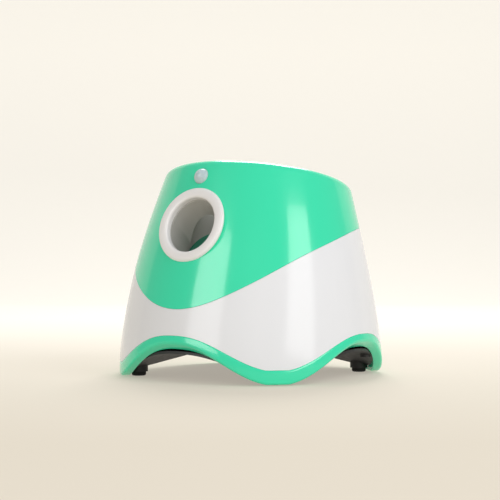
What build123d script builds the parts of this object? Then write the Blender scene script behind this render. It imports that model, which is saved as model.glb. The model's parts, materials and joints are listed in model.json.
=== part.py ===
from build123d import *
import math
import os

# Automatic dog ball launcher. Millimetres, +Z up, the muzzle faces -Y and the origin is the
# middle of the footprint at the floor. Each sub-part is written to parts/NAME.step.

# ---- driving dimensions: casing ----
section_heights = [0, 15, 60, 105, 150, 190, 216]
half_widths = [129.5, 129.3, 124.5, 116.5, 105.0, 92.5, 83.5]
front_reach = [129.5, 129.3, 122.5, 111.0, 96.5, 82.5, 73.5]
rear_reach = [129.5, 129.3, 122.5, 112.0, 105.0, 101.5, 99.5]
wall = 2.8                    # thickness of the moulded shells
rim_centre_y = 12.0           # the tilted top plane crosses this point
rim_height = 191.0
rim_tilt = 9.5                # degrees, low at the rear
rim_round = 9.0               # outer rounding of the rim
hopper_mouth_radius = 72.0    # hole in the rim deck
tongue_height = 5.0           # tongue of the lower shell behind the seam
tongue_thickness = 1.8
fit_gap = 0.3                 # gap between moving neighbours
seat_gap = 0.1                # gap between seated pieces
far = 200.0                   # beyond the casing on every side
shell_cut = (-5.0, 8.0)       # depths between which a hole through a shell is cut

# Seam between the green and the white shell, seen from the side: how far forward and how high.
seam_depths = [136, 122, 108, 91, 63, 26, -10, -50, -112]
seam_heights = [50, 67, 82, 96, 114, 128.7, 138, 143.5, 147]

# ---- driving dimensions: base ----
arch_crown = 30.5             # height of the four arches in the skirt
foot_lift = 1.2               # the skirt clears the floor by this much
arch_power = 2.45             # how square the arch is
arch_dip = 1.2                # the arch line runs out this far below the flat of a foot
wave_steps = 5                # points on each half of the arch line
below_floor = -20.0
trim_height = 13.0            # green band above the arch line
trim_thickness = 9.0
pan_crown = 26.5              # underside of the pan at its highest
pan_low = 7.0                 # and over the feet
pan_thickness = 2.5
deck_front_y = -50.0          # the flat deck that carries the drive starts here
deck_step = 0.5               # the deck stands proud of the vault by this much, above and below
foot_ring_radius = 111.0      # rubber feet stand on this circle
foot_radius = 7.0
foot_height = 8.0
foot_bevel = 1.0
foot_seat = 4.0               # how far a foot goes into its boss
foot_boss_wall = 1.8
foot_boss_roof = 5.0
pan_screw_x = 105.0
pan_screw_y = 43.0
screw_boss_radius = 5.0
pan_screw_head = 3.0          # radius
screw_pad = 2.5               # under the head of a pan screw
post_high = 60.0              # top of the screw posts
post_hole = 12.0              # depth of their holes
web_thickness = 2.4           # webs between the posts and the shell
web_rise = 4.0                # they start this far above the trim
web_reach = 18.0

# ---- driving dimensions: muzzle, barrel and striker ----
ball_radius = 25.4            # mini tennis ball, 2 inches
muzzle_height = 145.0
muzzle_tilt = 18.3            # degrees that the ring faces upwards
ring_outer_radius = 37.4
ring_inner_radius = 28.1
ring_proud = 2.2
ring_round = 2.6
ring_depth = 14.0             # of the ring before the casing is cut away from it
ring_sleeve_wall = 4.4
ring_sleeve_depth = 6.8
barrel_elevation = 40.0       # degrees
barrel_bore_radius = 26.1
barrel_wall = 2.2
barrel_rear_depth = 90.0
barrel_rear_wall = 3.0
head_rest_depth = 46.0        # striker face when it is released
head_radius = 24.5
head_length = 12.0
head_round = 2.5
cup_depth = 3.0               # hollow for the ball in the striker's face
cup_slack = 0.6
striker_stroke = 30.0
bar_half_width = 5.0
bar_low = -7.0
bar_end_depth = 123.0
rack_pitch_line = 10.0
rack_module = 1.5
rack_backlash = 0.12
spring_rest_length = 43.0
spring_radius = 7.6
spring_wire_radius = 0.9
spring_turns = 7
spring_slack = 1.1            # round the pin of the cap
cap_thickness = 4.0
cap_half_height = 8.0
cap_pin_length = 9.0
guide_wall = 4.0              # under the bar

# ---- driving dimensions: gear train ----
pressure_angle = 25.0
gear_module = 1.0
wheel_teeth = 36
pinion_teeth = 12
sector_full_teeth = 22        # teeth that a whole wheel of the sector's size would have
sector_teeth = 8
sector_half_width = 5.0
gear_mesh_depth = 117.0       # where the sector meets the rack, measured along the barrel
gear_backlash = 0.12          # taken off each flank
sector_lane = (7.0, 12.0)     # x of the sector's wheel and the second gear's pinion
second_lane = (-12.0, -7.0)
first_lane = (0.0, 5.0)
pinion_overhang = 0.5         # a pinion is wider than its wheel by this much on each side
sector_hub_radius = 4.5
hub_radius = 4.0
hub_gap = 0.5                 # from a hub to a frame plate
axle_radius = 2.0
axle_gap = 0.08
axle_overhang = 2.0
clip_radius = 3.6
clip_thickness = 1.0
train_angles = [-8.0, 0.0, 0.0]   # degrees from each axle to the next

# ---- driving dimensions: motor and drive frame ----
plate_inner = 14.0            # frame plates start at this x
plate_thickness = 3.0
plate_outline = [(40.0, 63.0), (84.0, 68.0), (94.0, 80.0), (94.0, 98.0), (84.0, 109.0), (-4.0, 111.0)]
spacer_places = [(-34.0, 40.0), (0.0, 38.0), (36.0, 60.0), (74.0, 104.0)]
spacer_radius = 3.2
spacer_screw_reach = 7.0
frame_tab_places = (-36.0, 30.0)
frame_tab_width = 12.0
frame_tab_reach = 11.0
motor_radius = 14.0
motor_length = 38.0
motor_round = 1.5
motor_shaft_radius = 1.15
shaft_start = -3.0
shaft_tail = 4.0
motor_nose_radius = 5.0
motor_nose = 2.0
motor_tail = 2.5
motor_screw_offset = 9.5
terminal_offset = 9.0
terminal_width = 4.0
terminal_height = 6.0
terminal_proud = 0.5
motor_end_hole = 9.0          # in the plate that the motor isn't on

# ---- driving dimensions: screws ----
screw_radius = 1.5
screw_slack = 0.05
screw_head_radius = 2.1
screw_head_height = 1.6
large_head_radius = 2.6
large_head_height = 1.8

# ---- driving dimensions: feed ----
outlet_y = -36.0              # middle of the hole in the hopper floor
outlet_height = 163.0
chute_bore_radius = 27.0
moulding = 2.2                # wall of the inner mouldings
chute_flange = 4.5
chute_clearance = 11.0        # the chute ends this far above the pocket
hopper_lip = 6.0              # flange under the deck, beyond the mouth
sensor_depth = 56.0           # the light gate, down the barrel
sensor_lift = -7.0
sensor_size = 8.0
sensor_seat = 2.0

# ---- driving dimensions: battery bay ----
cell_radius = 13.0            # C cells
cell_length = 50.0
cell_tip_length = 1.6
cell_tip_radius = 3.4
cell_pitch = 27.0
cell_count = 4
cell_rest = 0.3
cell_headroom = 1.2
box_wall = 2.0
box_front_y = 42.0
box_rear_y = 103.0
contact_thickness = 0.8
contact_reach = 22.0
contact_half_height = 7.0
contact_wire_radius = 0.45
contact_turns = 2.5
contact_spring_radius = 3.6
door_margin = 1.5             # from the box wall to the door
grip_count = 5                # grooves for the finger
grip_pitch = 2.4
grip_width = 1.2
grip_depth = 0.8
grip_half_length = 9.0
grip_start = 10.0

# ---- driving dimensions: control panel ----
control_height = 112.0
button_radius = 7.0
button_offset = 21.0
button_proud = 2.2
button_round = 1.2
button_travel = 1.2
button_flange_depth = 5.1     # behind the curved wall
button_flange_thickness = 1.2
button_flange = 1.4           # beyond the button's radius
button_stem_radius = 2.0
stem_end = 7.6
switch_gap = 0.35             # from the pressed button stem to the switch
switch_size = 6.0
switch_height = 4.0
switch_plunger_radius = 1.7
switch_plunger_height = 1.0
board_width, board_height, board_thickness = 72.0, 24.0, 1.6
post_x, post_y = 31.0, 8.5
post_radius = 2.6
chip_size, chip_height, chip_x = 9.0, 1.4, -22.0
capacitor_radius, capacitor_height, capacitor_x = 3.2, 7.0, 24.0
led_pitch = 7.0
led_radius = 1.9
led_base_radius = 2.4
led_base_height = 1.2
led_height = 5.2
pipe_radius = 2.0
pipe_proud = 0.5
buzzer_radius, buzzer_height = 6.0, 4.5
buzzer_hole_radius = 1.0

# ---- driving dimensions: power inlet and motion sensor ----
jack_height = 72.0
jack_bore_radius = 2.85       # takes a 5.5 mm plug
jack_bore_depth = 9.5
jack_body_radius = 5.2
jack_body_depth = 13.0
jack_flange_radius = 6.8
jack_flange_proud = 1.2
jack_nut = (3.4, 5.6)         # depths of the nut behind the wall
jack_pin_radius = 1.0
jack_pin_recess = 1.5
pir_height = 190.0
pir_radius = 7.8
pir_proud = 5.0
lens_slack = 0.2
lens_wall = 0.9
lens_flange_radius = 9.2
lens_flange_depth = 3.7
lens_flange_thickness = 1.1
pir_board_width, pir_board_height, pir_board_thickness = 32.0, 15.0, 1.4
pir_board_depth = 13.0
pir_post_x = 12.4
can_radius = 4.6
can_height = 4.4
can_base = 0.8


def save(shape, name, colour):
    """Write one sub-part."""
    os.makedirs("parts", exist_ok=True)
    shape.label = name
    shape.color = Color(*colour)
    export_step(shape, "parts/" + name + ".step")


GREEN = (0.25, 0.85, 0.68)
WHITE = (0.9, 0.9, 0.91)
BLACK = (0.06, 0.06, 0.06)
GREY = (0.5, 0.5, 0.52)
STEEL = (0.7, 0.7, 0.72)
BOARD = (0.05, 0.3, 0.15)
BRASS = (0.75, 0.62, 0.3)


def solid_of(shape):
    """Keep the largest solid of a result."""
    return max(shape.solids(), key=lambda piece: piece.volume)


def group(pieces):
    """Several like solids that share one node."""
    return Compound(children=[solid_of(piece) for piece in pieces])


def block(x_start, x_end, y_start, y_end, z_start, z_end):
    """A block from its limits."""
    middle = ((x_start + x_end) / 2, (y_start + y_end) / 2, (z_start + z_end) / 2)
    return Pos(*middle) * Box(x_end - x_start, y_end - y_start, z_end - z_start)


def z_rod(radius, low, high, x, y):
    """An upright round bar."""
    return Pos(x, y, (low + high) / 2) * Cylinder(radius, high - low)


# ---------------------------------------------------------------- casing form
rim_plane = Plane(
    origin=(0, rim_centre_y, rim_height),
    x_dir=(1, 0, 0),
    z_dir=(0, math.sin(math.radians(rim_tilt)), math.cos(math.radians(rim_tilt))),
)


def casing_form(inset):
    """The outer form of the casing, drawn in by inset, with its tilted and rounded rim."""
    rings = []
    for height, half, front, rear in zip(section_heights, half_widths, front_reach, rear_reach):
        middle = Plane(origin=(0, (rear - front) / 2, height))
        rings.append(middle * Ellipse(half - inset, (rear + front) / 2 - inset))
    form = loft(rings)
    form = split(form, bisect_by=rim_plane.offset(-inset), keep=Keep.BOTTOM)
    top_edges = form.faces().sort_by(Axis.Z)[-1].edges()
    return fillet(top_edges, max(rim_round - inset, 1.0))


form_outer = casing_form(0)
form_inner = casing_form(wall)
trim_inner = casing_form(trim_thickness)
pan_form = casing_form(trim_thickness + seat_gap)
casing = form_outer - form_inner


def above_seam(raise_by):
    """Everything above the seam curve, which is drawn in side view and extruded along X."""
    points = [(-depth, height + raise_by) for depth, height in zip(seam_depths, seam_heights)]
    first, last = points[0], points[-1]
    outline = Spline(points) + Polyline(last, (far, last[1]), (far, 2 * far), (-far, 2 * far),
                                        (-far, below_floor), (first[0], below_floor), first)
    return extrude(Plane.YZ * make_face(outline), far, both=True)


seam_upper = above_seam(0)


def wave_height(side, crown, low_line):
    """Height of the arched line at one distance to the side of an arch's middle."""
    angle = math.asin(min(abs(side) / half_widths[1], math.sin(math.radians(45))))
    low = low_line - arch_dip
    return low + (crown - low) * (1 - math.sin(2 * angle) ** arch_power)


def arch_cutter(crown, low_line):
    """The four tunnels under an arched line. Each is kept to its own quarter of the plan."""
    spread = half_widths[1] * math.sin(math.radians(45))
    points = []
    for step in range(-wave_steps, wave_steps + 1):
        side = half_widths[1] * math.sin(math.radians(45 * step / wave_steps))
        points.append((side, wave_height(side, crown, low_line)))
    curve = Spline(points, tangents=[(1, 0), (1, 0)])
    outline = curve + Polyline(points[-1], (spread, below_floor), (-spread, below_floor), points[0])
    tunnel = extrude(Plane.XZ * make_face(outline), far)
    quarter = make_face(Polyline((0, 0), (far, -far), (-far, -far), close=True))
    tunnel &= extrude(Pos(0, 0, below_floor) * quarter, far)
    return [tunnel.rotate(Axis.Z, 90 * turn) for turn in range(4)]


def above_wave(shape, crown, low_line):
    """What is left of a shape above an arched line: four arches between four feet."""
    slab = block(-far, far, -far, far, below_floor, low_line)
    return shape - slab - arch_cutter(crown, low_line)


def front_point(height):
    """Where the outer face of the casing is, straight ahead at one height."""
    probe = Edge.make_line((0, -far, height), (0, 0, height)) & form_outer
    return min(vertex.Y for vertex in probe.vertices())


def rear_point(height, x=0.0):
    """Where the outer face of the casing is at the rear."""
    probe = Edge.make_line((x, far, height), (x, 0, height)) & form_outer
    return max(vertex.Y for vertex in probe.vertices())


# ---------------------------------------------------------------- muzzle axis and barrel axis
muzzle_plane = Plane(
    origin=(0, front_point(muzzle_height) - ring_proud, muzzle_height),
    x_dir=(1, 0, 0),
    z_dir=(0, -math.cos(math.radians(muzzle_tilt)), math.sin(math.radians(muzzle_tilt))),
)
muzzle = muzzle_plane.origin
slope = math.radians(barrel_elevation)
inward = Vector(0, math.cos(slope), -math.sin(slope))      # down the barrel
across = Vector(0, math.sin(slope), math.cos(slope))       # square to it, upwards
barrel_outer_radius = barrel_bore_radius + barrel_wall
barrel_end = barrel_rear_depth + barrel_rear_wall


def barrel_plane(depth, lift=0.0):
    """A plane square to the barrel axis, facing down the barrel. Local x is +X, y is -across."""
    return Plane(origin=muzzle + inward * depth + across * lift, x_dir=(1, 0, 0), z_dir=inward)


def barrel_rod(radius, start, end):
    """A round bar on the barrel axis."""
    return extrude(barrel_plane(start) * Circle(radius), end - start)


def barrel_block(half_width, low, high, start, end):
    """A block by its limits across, above and along the barrel axis."""
    lift = (low + high) / 2
    return extrude(barrel_plane(start, lift) * Rectangle(2 * half_width, high - low), end - start)


def muzzle_rod(radius, start, end):
    """A round bar on the axis of the muzzle ring, by depth behind its face."""
    return extrude(muzzle_plane.offset(-start) * Circle(radius), -(end - start))


def side_point(depth, lift):
    """Side view (y, z) of a point by its depth down the barrel and its lift off the axis."""
    place = muzzle + inward * depth + across * lift
    return place.Y, place.Z


# ---------------------------------------------------------------- gear positions
wheel_radius = gear_module * wheel_teeth / 2
pinion_radius = gear_module * pinion_teeth / 2
sector_radius = rack_module * sector_full_teeth / 2
axle_step = wheel_radius + pinion_radius
train = [side_point(gear_mesh_depth, rack_pitch_line + sector_radius)]
for angle in train_angles:
    last_y, last_z = train[-1]
    turn = math.radians(angle)
    train.append((last_y + axle_step * math.cos(turn), last_z + axle_step * math.sin(turn)))
sector_at, second_at, first_at, motor_at = train
gear_places = (sector_at, second_at, first_at)


def x_plane(x, place):
    """A plane that faces +X through a side-view point. Local x is +Y and local y is +Z."""
    return Plane(origin=(x, place[0], place[1]), x_dir=(0, 1, 0), z_dir=(1, 0, 0))


def x_rod(radius, x_start, x_end, place):
    """A round bar along X, from the lower to the higher end."""
    low, high = sorted((x_start, x_end))
    return extrude(x_plane(low, place) * Circle(radius), high - low)


def x_hole(radius, place):
    """A round bar along X that passes through the whole drive."""
    return x_rod(radius, -far, far, place)


def involute(angle):
    return math.tan(angle) - angle


def gear_outline(module, teeth_whole, count, phase):
    """A spur gear drawn as one closed outline: involute flanks, flat tips and roots.

    phase is the angle of the first tooth's middle; count teeth are drawn of teeth_whole.
    """
    pitch = module * teeth_whole / 2
    tip = pitch + module
    root = pitch - 1.25 * module
    base = pitch * math.cos(math.radians(pressure_angle))
    half_tooth = math.pi / (2 * teeth_whole) - gear_backlash / pitch + involute(math.radians(pressure_angle))
    points = []
    for number in range(count):
        middle = phase + 2 * math.pi * number / teeth_whole
        flank = []
        for radius in (max(base, root), pitch, tip):
            spread = half_tooth - involute(math.acos(min(1.0, base / radius)))
            flank.append((radius, spread))
        if root < base:
            flank.insert(0, (root, flank[0][1]))
        points += [(radius, middle - spread) for radius, spread in flank]
        points += [(radius, middle + spread) for radius, spread in reversed(flank)]
    flat = [(radius * math.cos(angle), radius * math.sin(angle)) for radius, angle in points]
    if count < teeth_whole:
        span = points[0][1] + 2 * math.pi - points[-1][1]
        steps = 10
        for step in range(1, steps):
            angle = points[-1][1] + span * step / steps
            flat.append((root * math.cos(angle), root * math.sin(angle)))
    return make_face(Polyline(*flat, close=True))


def spur(module, teeth, lane, place, phase, count=None):
    """A spur wheel on an axle along X, between the two x of its lane."""
    outline = gear_outline(module, teeth, count or teeth, phase)
    return extrude(x_plane(lane[0], place) * outline, lane[1] - lane[0])


# ---------------------------------------------------------------- planes on the casing
def wall_tilt(reach, height):
    """How far the wall leans back between the sections below and above a height, in degrees."""
    index = max(number for number, section in enumerate(section_heights) if section < height)
    rise = section_heights[index + 1] - section_heights[index]
    return math.degrees(math.atan((reach[index] - reach[index + 1]) / rise))


def outward_plane(y, height, tilt, x=0.0):
    """A plane on the casing that faces outwards and up by tilt; offset(-d) goes d inwards."""
    side = math.copysign(1, y)
    lean = math.radians(tilt)
    return Plane(origin=(x, y, height), x_dir=(1, 0, 0),
                 z_dir=(0, side * math.cos(lean), math.sin(lean)))


def rod_in(plane, radius, start, end, x=0.0, y=0.0):
    """A round bar that goes into the casing from depth start to depth end."""
    return extrude(plane.offset(-start) * Pos(x, y) * Circle(radius), -(end - start))


def box_in(plane, width, height, start, end, x=0.0, y=0.0):
    """A block that goes into the casing from depth start to depth end."""
    return extrude(plane.offset(-start) * Pos(x, y) * Rectangle(width, height), -(end - start))


pir_plane = outward_plane(front_point(pir_height), pir_height, wall_tilt(front_reach, pir_height))
jack_plane = outward_plane(rear_point(jack_height), jack_height, wall_tilt(rear_reach, jack_height))
control_tilt = wall_tilt(rear_reach, control_height)
control_plane = outward_plane(rear_point(control_height), control_height, control_tilt)
button_planes = [
    outward_plane(rear_point(control_height, x), control_height, control_tilt, x)
    for x in (-button_offset, button_offset)
]
switch_top = stem_end + button_travel + switch_gap
board_depth = switch_top + switch_height
board_step = control_plane.origin.Y - button_planes[0].origin.Y   # the wall curves away
board_face = board_depth + board_step
board_back = board_face + board_thickness
shank_radius = screw_radius - screw_slack
lens_radius = pir_radius - lens_slack


def corners_of(x, y):
    """Four places that mirror each other about both axes."""
    return [(side_x * x, side_y * y) for side_x in (-1, 1) for side_y in (-1, 1)]


# ---------------------------------------------------------------- casing pieces
screw_corners = corners_of(pan_screw_x, pan_screw_y)
post_corners = corners_of(post_x, post_y)
light_places = [number * led_pitch for number in (-1, 0, 1)]


def pan_line(reach):
    """Underside of the pan beside a screw, reach nearer to the middle of the side arch."""
    return wave_height(pan_screw_y - reach, pan_crown, pan_low)


post_low = pan_line(screw_boss_radius) + pan_thickness + 2 * seat_gap
pad_low = pan_line(-screw_boss_radius)
pad_high = post_low - seat_gap
screw_seat = pad_high - screw_pad


def make_upper_shell():
    shell = casing & seam_upper
    shell -= extrude(rim_plane * Circle(hopper_mouth_radius), rim_round, both=True)
    shell -= muzzle_rod(ring_inner_radius + ring_sleeve_wall + seat_gap, -10, 20)
    shell -= rod_in(pir_plane, lens_radius + seat_gap, *shell_cut)
    for x in (-pir_post_x, pir_post_x):
        shell += rod_in(pir_plane, post_radius, wall / 2, pir_board_depth, x=x) & form_outer
    return shell


def make_lower_shell():
    shell = above_wave(casing, arch_crown + trim_height, foot_lift + trim_height) - seam_upper
    band = form_inner - casing_form(wall + tongue_thickness)
    shell += (band & above_seam(-tongue_height)) - above_seam(tongue_height)
    for x, y in post_corners:
        shell += rod_in(control_plane, post_radius, 0, board_face, x, y) & form_inner
    for x, y in screw_corners:
        shell += (z_rod(screw_boss_radius, post_low, post_high, x, y) + post_web(x, y)) & form_inner
        shell -= z_rod(screw_radius, post_low - 1, post_low + post_hole, x, y)
    for plane in button_planes:
        shell -= rod_in(plane, button_radius + fit_gap, *shell_cut)
    for x in light_places:
        shell -= rod_in(control_plane, pipe_radius + seat_gap, *shell_cut, x=x)
    return shell - rod_in(jack_plane, jack_body_radius + seat_gap, *shell_cut)


def post_web(x, y):
    """The web that ties a screw post to the shell beside it."""
    near, away = sorted((x, x + math.copysign(web_reach, x)))
    low = arch_crown + trim_height + web_rise
    return block(near, away, y - web_thickness / 2, y + web_thickness / 2, low, post_high)


def make_base_trim():
    ring = above_wave(form_outer - trim_inner, arch_crown, foot_lift)
    return ring - above_wave(ring, arch_crown + trim_height, foot_lift + trim_height)


foot_reach = foot_ring_radius * math.cos(math.radians(45))
foot_corners = corners_of(foot_reach, foot_reach)
deck_low = pan_crown - deck_step
deck_top = pan_crown + pan_thickness + deck_step
cell_low = deck_top + cell_rest
cell_z = cell_low + cell_radius
box_top = cell_z + cell_radius + cell_headroom
box_half_width = cell_count * cell_pitch / 2 + box_wall
door_half_width = box_half_width - door_margin
door_front_y = box_front_y + box_wall + door_margin
door_rear_y = box_rear_y - box_wall - door_margin


def make_base_pan():
    body = above_wave(block(-far, far, -far, far, 0, deck_top + deck_step) & pan_form, pan_crown, pan_low)
    vault = body - above_wave(body, pan_crown + pan_thickness, pan_low + pan_thickness)
    half = door_half_width + box_wall
    front, rear = door_front_y - box_wall, door_rear_y + box_wall
    deck = block(-half, half, deck_front_y, rear, deck_low, deck_top)
    skirt = above_wave(block(-half, half, front, rear, pan_low, deck_top), pan_crown, pan_low)
    pan = vault + deck + skirt
    for x, y in foot_corners:
        pan += z_rod(foot_radius + foot_boss_wall, foot_seat, foot_height + foot_boss_roof, x, y)
        pan -= z_rod(foot_radius + seat_gap, below_floor, foot_height, x, y)
    pan -= block(-door_half_width, door_half_width, door_front_y, door_rear_y, 0, 2 * deck_top)
    for x, y in screw_corners:
        pan += z_rod(screw_boss_radius, pad_low, pad_high, x, y)
        pan -= z_rod(screw_radius + screw_slack, 0, 2 * deck_top, x, y)
        pan -= z_rod(pan_screw_head + fit_gap, 0, screw_seat, x, y)
    return pan & pan_form


def make_rubber_feet():
    pads = []
    for x, y in foot_corners:
        pad = z_rod(foot_radius, 0, foot_height, x, y)
        pads.append(chamfer(pad.edges().sort_by(Axis.Z)[0], foot_bevel))
    return group(pads)


def make_pan_screws():
    screws = []
    for x, y in screw_corners:
        screws.append(z_rod(pan_screw_head, screw_seat - large_head_height, screw_seat, x, y)
                      + z_rod(shank_radius, screw_seat, post_low + post_hole - 2, x, y))
    return group(screws)


# ---------------------------------------------------------------- ball path
outlet_at = Vector(0, outlet_y, outlet_height)
pocket_at = muzzle + inward * (head_rest_depth + striker_stroke - ball_radius)
down_chute = (pocket_at - outlet_at).normalized()
outlet_plane = Plane(origin=outlet_at, x_dir=(1, 0, 0), z_dir=down_chute)
chute_outer_radius = chute_bore_radius + moulding
chute_flange_radius = chute_outer_radius + chute_flange
chute_end = (pocket_at - outlet_at).length - chute_clearance


def chute_rod(radius, start, end):
    """A round bar along the chute, by distance below the hopper outlet."""
    return extrude(outlet_plane.offset(start) * Circle(radius), end - start)


def chute_screw_rods(start, end, radius):
    """Four round bars for the screws between the hopper and the chute."""
    reach = chute_outer_radius + chute_flange / 2
    rods = []
    for number in range(4):
        turn = math.radians(45 + 90 * number)
        spot = Pos(reach * math.cos(turn), reach * math.sin(turn))
        rods.append(extrude(outlet_plane.offset(start) * spot * Circle(radius), end - start))
    return rods


def make_hopper():
    lip = rim_plane.offset(-wall - moulding)
    outer = loft([lip * Circle(hopper_mouth_radius + moulding), outlet_plane * Circle(chute_outer_radius)])
    outer += extrude(lip * Circle(hopper_mouth_radius + hopper_lip), moulding)
    outer += chute_rod(chute_flange_radius, -moulding, 0)
    inner = loft([lip * Circle(hopper_mouth_radius), outlet_plane * Circle(chute_bore_radius)])
    inner += extrude(lip * Circle(hopper_mouth_radius), 2 * moulding)
    return outer - inner - chute_screw_rods(-moulding, 1, screw_radius)


def make_chute():
    tube = chute_rod(chute_outer_radius, 0, chute_end) + chute_rod(chute_flange_radius, 0, moulding)
    tube -= chute_rod(chute_bore_radius, -1, chute_end + 20)
    tube -= barrel_rod(barrel_outer_radius, 0, barrel_end + 30)
    return solid_of(tube) - chute_screw_rods(-1, moulding + 1, screw_radius)


def make_chute_screws():
    heads = chute_screw_rods(moulding, moulding + large_head_height, screw_head_radius)
    shanks = chute_screw_rods(-moulding, moulding, shank_radius)
    return group([head + shank for head, shank in zip(heads, shanks)])


rack_root = rack_pitch_line - 1.25 * rack_module
rack_top = rack_pitch_line + rack_module


def make_barrel():
    tube = barrel_rod(barrel_outer_radius, -20, barrel_end)
    tube -= barrel_rod(barrel_bore_radius, -30, barrel_rear_depth)
    tube -= chute_rod(chute_bore_radius, 0, chute_end + 8)
    tube -= muzzle_rod(far, -60, ring_sleeve_depth + seat_gap)
    slot = barrel_block(bar_half_width + fit_gap, bar_low - fit_gap, rack_top + fit_gap,
                        barrel_rear_depth - 1, barrel_end + 1)
    return solid_of(tube - slot)


def make_muzzle_ring():
    bore = muzzle_rod(ring_inner_radius, -1, ring_depth + 1)
    ring = muzzle_rod(ring_outer_radius, 0, ring_depth) - bore
    face = ring.faces().filter_by(GeomType.PLANE).sort_by(lambda item: item.center().Y)[0]
    ring = fillet(face.edges().sort_by(SortBy.RADIUS)[-1], ring_round)
    sleeve = muzzle_rod(ring_inner_radius + ring_sleeve_wall, ring_proud, ring_sleeve_depth)
    return solid_of(ring - form_outer) + (sleeve - bore)


def make_ball_sensors():
    """The two halves of the light gate that sees a ball in the pocket."""
    halves = []
    for side in (-1, 1):
        spot = barrel_plane(sensor_depth, sensor_lift) * Pos(side * (barrel_outer_radius + sensor_seat), 0)
        body = extrude(spot * Rectangle(sensor_size, sensor_size), sensor_size)
        halves.append(body - barrel_rod(barrel_outer_radius, 0, barrel_end))
    return group(halves)


# ---------------------------------------------------------------- motion sensor
dome_radius = (pir_radius ** 2 + pir_proud ** 2) / (2 * pir_proud)


def make_pir_lens():
    centre = pir_plane.offset(pir_proud - dome_radius).origin
    dome = (Pos(*centre) * Sphere(dome_radius)) & rod_in(pir_plane, pir_radius, -pir_proud - 1, 0)
    flange_end = lens_flange_depth + lens_flange_thickness
    lens = dome + rod_in(pir_plane, lens_radius, 0, lens_flange_depth)
    lens += rod_in(pir_plane, lens_flange_radius, lens_flange_depth, flange_end)
    hollow = (Pos(*centre) * Sphere(dome_radius - lens_wall)) & rod_in(pir_plane, pir_radius, -pir_proud, 0)
    return lens - hollow - rod_in(pir_plane, lens_radius - lens_wall, 0, flange_end + 1)


def make_pir_board():
    back = pir_board_depth + pir_board_thickness
    board = box_in(pir_plane, pir_board_width, pir_board_height, pir_board_depth, back)
    for x in (-pir_post_x, pir_post_x):
        board -= rod_in(pir_plane, screw_radius, pir_board_depth - 1, back + 1, x=x)
    return board


def make_pir_sensor():
    can = rod_in(pir_plane, can_radius, pir_board_depth - can_height, pir_board_depth)
    return can + rod_in(pir_plane, can_radius + can_base, pir_board_depth - can_base, pir_board_depth)


def make_pir_screws():
    screws = []
    back = pir_board_depth + pir_board_thickness
    for x in (-pir_post_x, pir_post_x):
        screws.append(rod_in(pir_plane, screw_head_radius, back, back + screw_head_height, x=x)
                      + rod_in(pir_plane, shank_radius, pir_board_depth, back, x=x))
    return group(screws)


# ---------------------------------------------------------------- striker
def make_striker_head():
    head = barrel_rod(head_radius, head_rest_depth, head_rest_depth + head_length)
    head = fillet(head.edges().filter_by(GeomType.CIRCLE), head_round)
    hollow_radius = ball_radius + cup_slack
    centre = muzzle + inward * (head_rest_depth + cup_depth - hollow_radius)
    return head - Pos(*centre) * Sphere(hollow_radius)


def make_striker_bar():
    """The bar behind the head, with rack teeth cut along its top."""
    start = head_rest_depth + head_length
    bar = barrel_block(bar_half_width, bar_low, rack_top, start, bar_end_depth)
    pitch = math.pi * rack_module
    lean = math.tan(math.radians(pressure_angle))
    half = pitch / 4 + rack_backlash
    bottom, top = rack_root - rack_pitch_line, 4 / 3 * rack_module
    for number in range(-1, sector_teeth + 1):
        middle = gear_mesh_depth - number * pitch
        outline = [(middle - half - lean * bottom, bottom), (middle + half + lean * bottom, bottom),
                   (middle + half + lean * top, top), (middle - half - lean * top, top)]
        corners = [side_point(depth, rack_pitch_line + lift) for depth, lift in outline]
        gap = make_face(Polyline(*corners, close=True))
        bar -= extrude(Plane.YZ * gap, 2 * bar_half_width, both=True)
    return solid_of(bar)


def make_striker_spring():
    pitch = (spring_rest_length - 2 * spring_wire_radius) / spring_turns
    seat = barrel_plane(bar_end_depth + spring_wire_radius)
    coil = Helix(pitch=pitch, height=pitch * spring_turns, radius=spring_radius)
    profile = Plane(origin=coil @ 0, z_dir=coil % 0) * RegularPolygon(spring_wire_radius, 6)
    return seat.location * sweep(profile, path=coil, is_frenet=True)


cap_depth = bar_end_depth + spring_rest_length
cap_end = cap_depth + cap_thickness
cap_pin_radius = spring_radius - spring_wire_radius - spring_slack
cap_half_width = plate_inner - seat_gap


def make_spring_cap():
    cap = barrel_block(cap_half_width, -cap_half_height, cap_half_height, cap_depth, cap_end)
    return cap + barrel_rod(cap_pin_radius, cap_depth - cap_pin_length, cap_depth)


def make_bar_guide():
    """A low-friction channel that carries the bar between the frame plates."""
    start, end = barrel_end + seat_gap, bar_end_depth - 2
    guide = barrel_block(cap_half_width, bar_low - guide_wall, bar_low + guide_wall, start, end)
    return guide - barrel_block(bar_half_width + fit_gap, bar_low - fit_gap, rack_top, start - 1, end + 1)


# ---------------------------------------------------------------- gears and motor
hub_end = plate_inner - hub_gap
toward_rack = math.atan2(-across.Z, -across.Y)
tooth_step = 2 * math.pi / sector_full_teeth
half_pinion_tooth = math.pi / pinion_teeth
plate_outer = plate_inner + plate_thickness
motor_end = plate_outer + motor_length


def angle_to(start, end):
    return math.atan2(end[1] - start[1], end[0] - start[0])


def wheel(lane, place, next_place):
    """A wheel with one tooth turned towards the next axle."""
    return spur(gear_module, wheel_teeth, lane, place, angle_to(place, next_place))


def pinion(lane, place, driven_place):
    """A pinion with a gap turned towards the wheel that it drives."""
    wide = (lane[0] - pinion_overhang, lane[1] + pinion_overhang)
    phase = angle_to(driven_place, place) + math.pi + half_pinion_tooth
    return spur(gear_module, pinion_teeth, wide, place, phase)


def on_axle(shape, radius, place):
    """Add a gear's hub and bore it for its fixed axle."""
    return shape + x_rod(radius, -hub_end, hub_end, place) - x_hole(axle_radius + axle_gap, place)


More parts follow.
